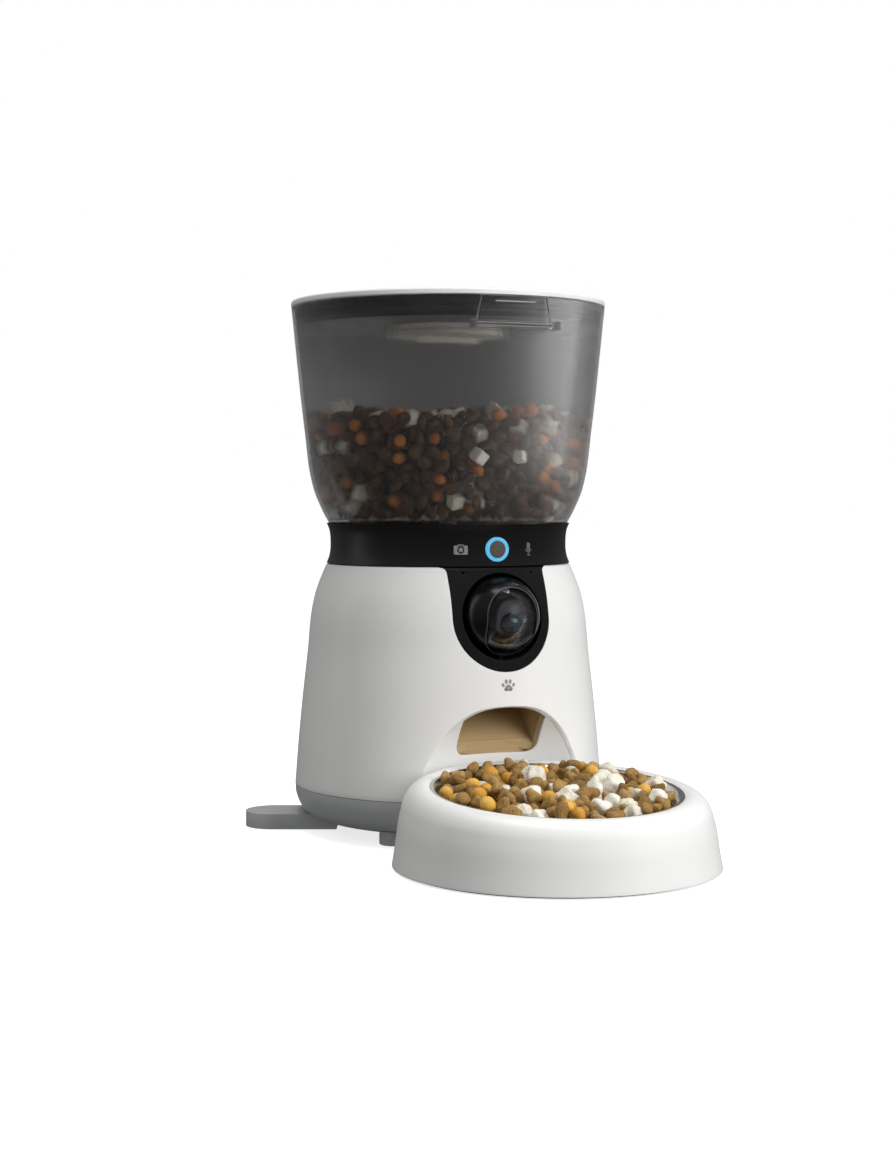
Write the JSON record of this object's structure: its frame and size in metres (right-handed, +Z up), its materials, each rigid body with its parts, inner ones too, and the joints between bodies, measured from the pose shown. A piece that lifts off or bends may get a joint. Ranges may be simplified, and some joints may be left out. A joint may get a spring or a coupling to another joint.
{
  "type": "automatic pet feeder",
  "caption": "Automatic dry-food feeder with smoked hopper, portioning rotor, tilting camera ball, chute and removable steel bowl in a holder.",
  "frame": {"origin": "on the floor, under the middle of the whole object", "axes": "+Z up, -Y is the front with the camera and the bowl, +X is to the right of a person who looks at the front"},
  "size_m": [0.2304, 0.335, 0.321],
  "materials": {
    "white_abs": "moulded, fine satin",
    "grey_abs": "moulded, matt",
    "black_abs": "moulded, satin",
    "gloss_black": "polished",
    "smoke_polycarbonate": "frosted smoke tint",
    "silicone": "matt",
    "grey_silicone": "matt",
    "stainless_steel": "polished",
    "light_ring": "frosted, lit",
    "nylon": "moulded",
    "circuit_board": "solder mask",
    "cell_jacket": "printed sleeve without marks",
    "lens_glass": "coated optical glass",
    "window_glass": "clear tinted"
  },
  "bodies": {
    "root": {"alcove": "white_abs", "body_shell": "white_abs", "base_shell": "grey_abs", "gearbox_cover": "grey_abs", "gearbox_housing": "grey_abs", "stabiliser_left": "grey_abs", "stabiliser_right": "grey_abs", "camera_panel": "black_abs", "camera_socket": "black_abs", "control_band": "black_abs", "outlet_shield": "black_abs", "power_socket": "black_abs", "rotor_chamber": "black_abs", "speaker": "black_abs", "front_foot_left": "grey_silicone", "front_foot_right": "grey_silicone", "rear_foot_left": "grey_silicone", "rear_foot_right": "grey_silicone", "drive_motor": "stainless_steel", "idler_pin": "stainless_steel", "pan_motor": "stainless_steel", "gearbox_screw_1": "stainless_steel", "gearbox_screw_2": "stainless_steel", "gearbox_screw_3": "stainless_steel", "gearbox_screw_4": "stainless_steel", "light_ring": "light_ring", "chute": "nylon", "button_board": "circuit_board", "main_board": "circuit_board", "battery_cell_1": "cell_jacket", "battery_cell_2": "cell_jacket", "battery_cell_3": "cell_jacket"},
    "hopper": {"hopper": "smoke_polycarbonate", "latch_pin": "stainless_steel"},
    "lid": {"lid_cover": "white_abs", "lid_liner": "black_abs", "lid_seal": "silicone", "desiccant_box": "white_abs"},
    "lid_latch": {"lid_latch": "smoke_polycarbonate"},
    "desiccant_cap": {"desiccant_cap": "nylon"},
    "rotor": {"rotor": "white_abs", "stirrer": "white_abs", "drive_shaft": "stainless_steel", "output_gear": "nylon"},
    "idler_gear": {"idler_gear": "nylon"},
    "motor_pinion": {"motor_pinion": "stainless_steel"},
    "camera_ball": {"camera_ball": "gloss_black", "camera_window": "window_glass", "pan_spindle": "stainless_steel"},
    "lens_carrier": {"lens_carrier": "grey_abs", "lens_barrel": "gloss_black", "lens": "lens_glass"},
    "feed_button": {"feed_button": "grey_abs"},
    "reset_button": {"reset_button": "grey_abs"},
    "bowl_holder": {"bowl_holder": "white_abs", "bowl_foot_ring": "silicone"},
    "steel_bowl": {"steel_bowl": "stainless_steel"},
    "battery_door": {"battery_door": "grey_abs"}
  },
  "joints": [
    {"name": "hopper_lift", "type": "slide", "parent": "root", "child": "hopper", "axis": [0, 0, 1], "range_m": [0, 0.1]},
    {"name": "lid_lift", "type": "slide", "parent": "hopper", "child": "lid", "axis": [0, 0, 1], "range_m": [0, 0.06]},
    {"name": "lid_latch_turn", "type": "hinge", "parent": "hopper", "child": "lid_latch", "pos_m": [0, -0.0241, 0.2984], "axis": [1, 0, 0], "range_deg": [0, 30], "stiffness_Nm_per_rad": 0.02},
    {"name": "desiccant_cap_turn", "type": "hinge", "parent": "lid", "child": "desiccant_cap", "pos_m": [0, 0.0725, 0.2995], "axis": [0, 0, 1], "range_deg": [0, 40]},
    {"name": "rotor_spin", "type": "hinge", "parent": "root", "child": "rotor", "pos_m": [0, 0.0725, 0.17], "axis": [0, 0, 1], "continuous": true},
    {"name": "idler_spin", "type": "hinge", "parent": "root", "child": "idler_gear", "pos_m": [0, 0.0925, 0.146], "axis": [0, 0, 1], "continuous": true},
    {"name": "motor_spin", "type": "hinge", "parent": "root", "child": "motor_pinion", "pos_m": [0, 0.1145, 0.1425], "axis": [0, 0, 1], "continuous": true},
    {"name": "camera_pan", "type": "hinge", "parent": "root", "child": "camera_ball", "pos_m": [0, -0.0035, 0.1326], "axis": [0, 0, 1], "range_deg": [-50, 50]},
    {"name": "camera_tilt", "type": "hinge", "parent": "camera_ball", "child": "lens_carrier", "pos_m": [0, -0.0035, 0.1326], "axis": [1, 0, 0], "range_deg": [-20, 25]},
    {"name": "feed_button_press", "type": "slide", "parent": "root", "child": "feed_button", "axis": [0, 1, 0], "range_m": [0, 0.001], "stiffness_N_per_m": 500},
    {"name": "reset_button_press", "type": "slide", "parent": "root", "child": "reset_button", "axis": [0, -1, 0], "range_m": [0, 0.001], "stiffness_N_per_m": 500},
    {"name": "bowl_holder_pull", "type": "slide", "parent": "root", "child": "bowl_holder", "axis": [0, -1, 0], "range_m": [0, 0.12]},
    {"name": "bowl_lift", "type": "slide", "parent": "bowl_holder", "child": "steel_bowl", "axis": [0, -0.075, 0.9972], "range_m": [0, 0.022]},
    {"name": "battery_door_off", "type": "slide", "parent": "root", "child": "battery_door", "axis": [0, 0, -1], "range_m": [0, 0.005]}
  ],
  "couplings": [
    {"joint": "idler_spin", "follows": "rotor_spin", "ratio": -1.8571},
    {"joint": "motor_spin", "follows": "rotor_spin", "ratio": 3.9796}
  ]
}
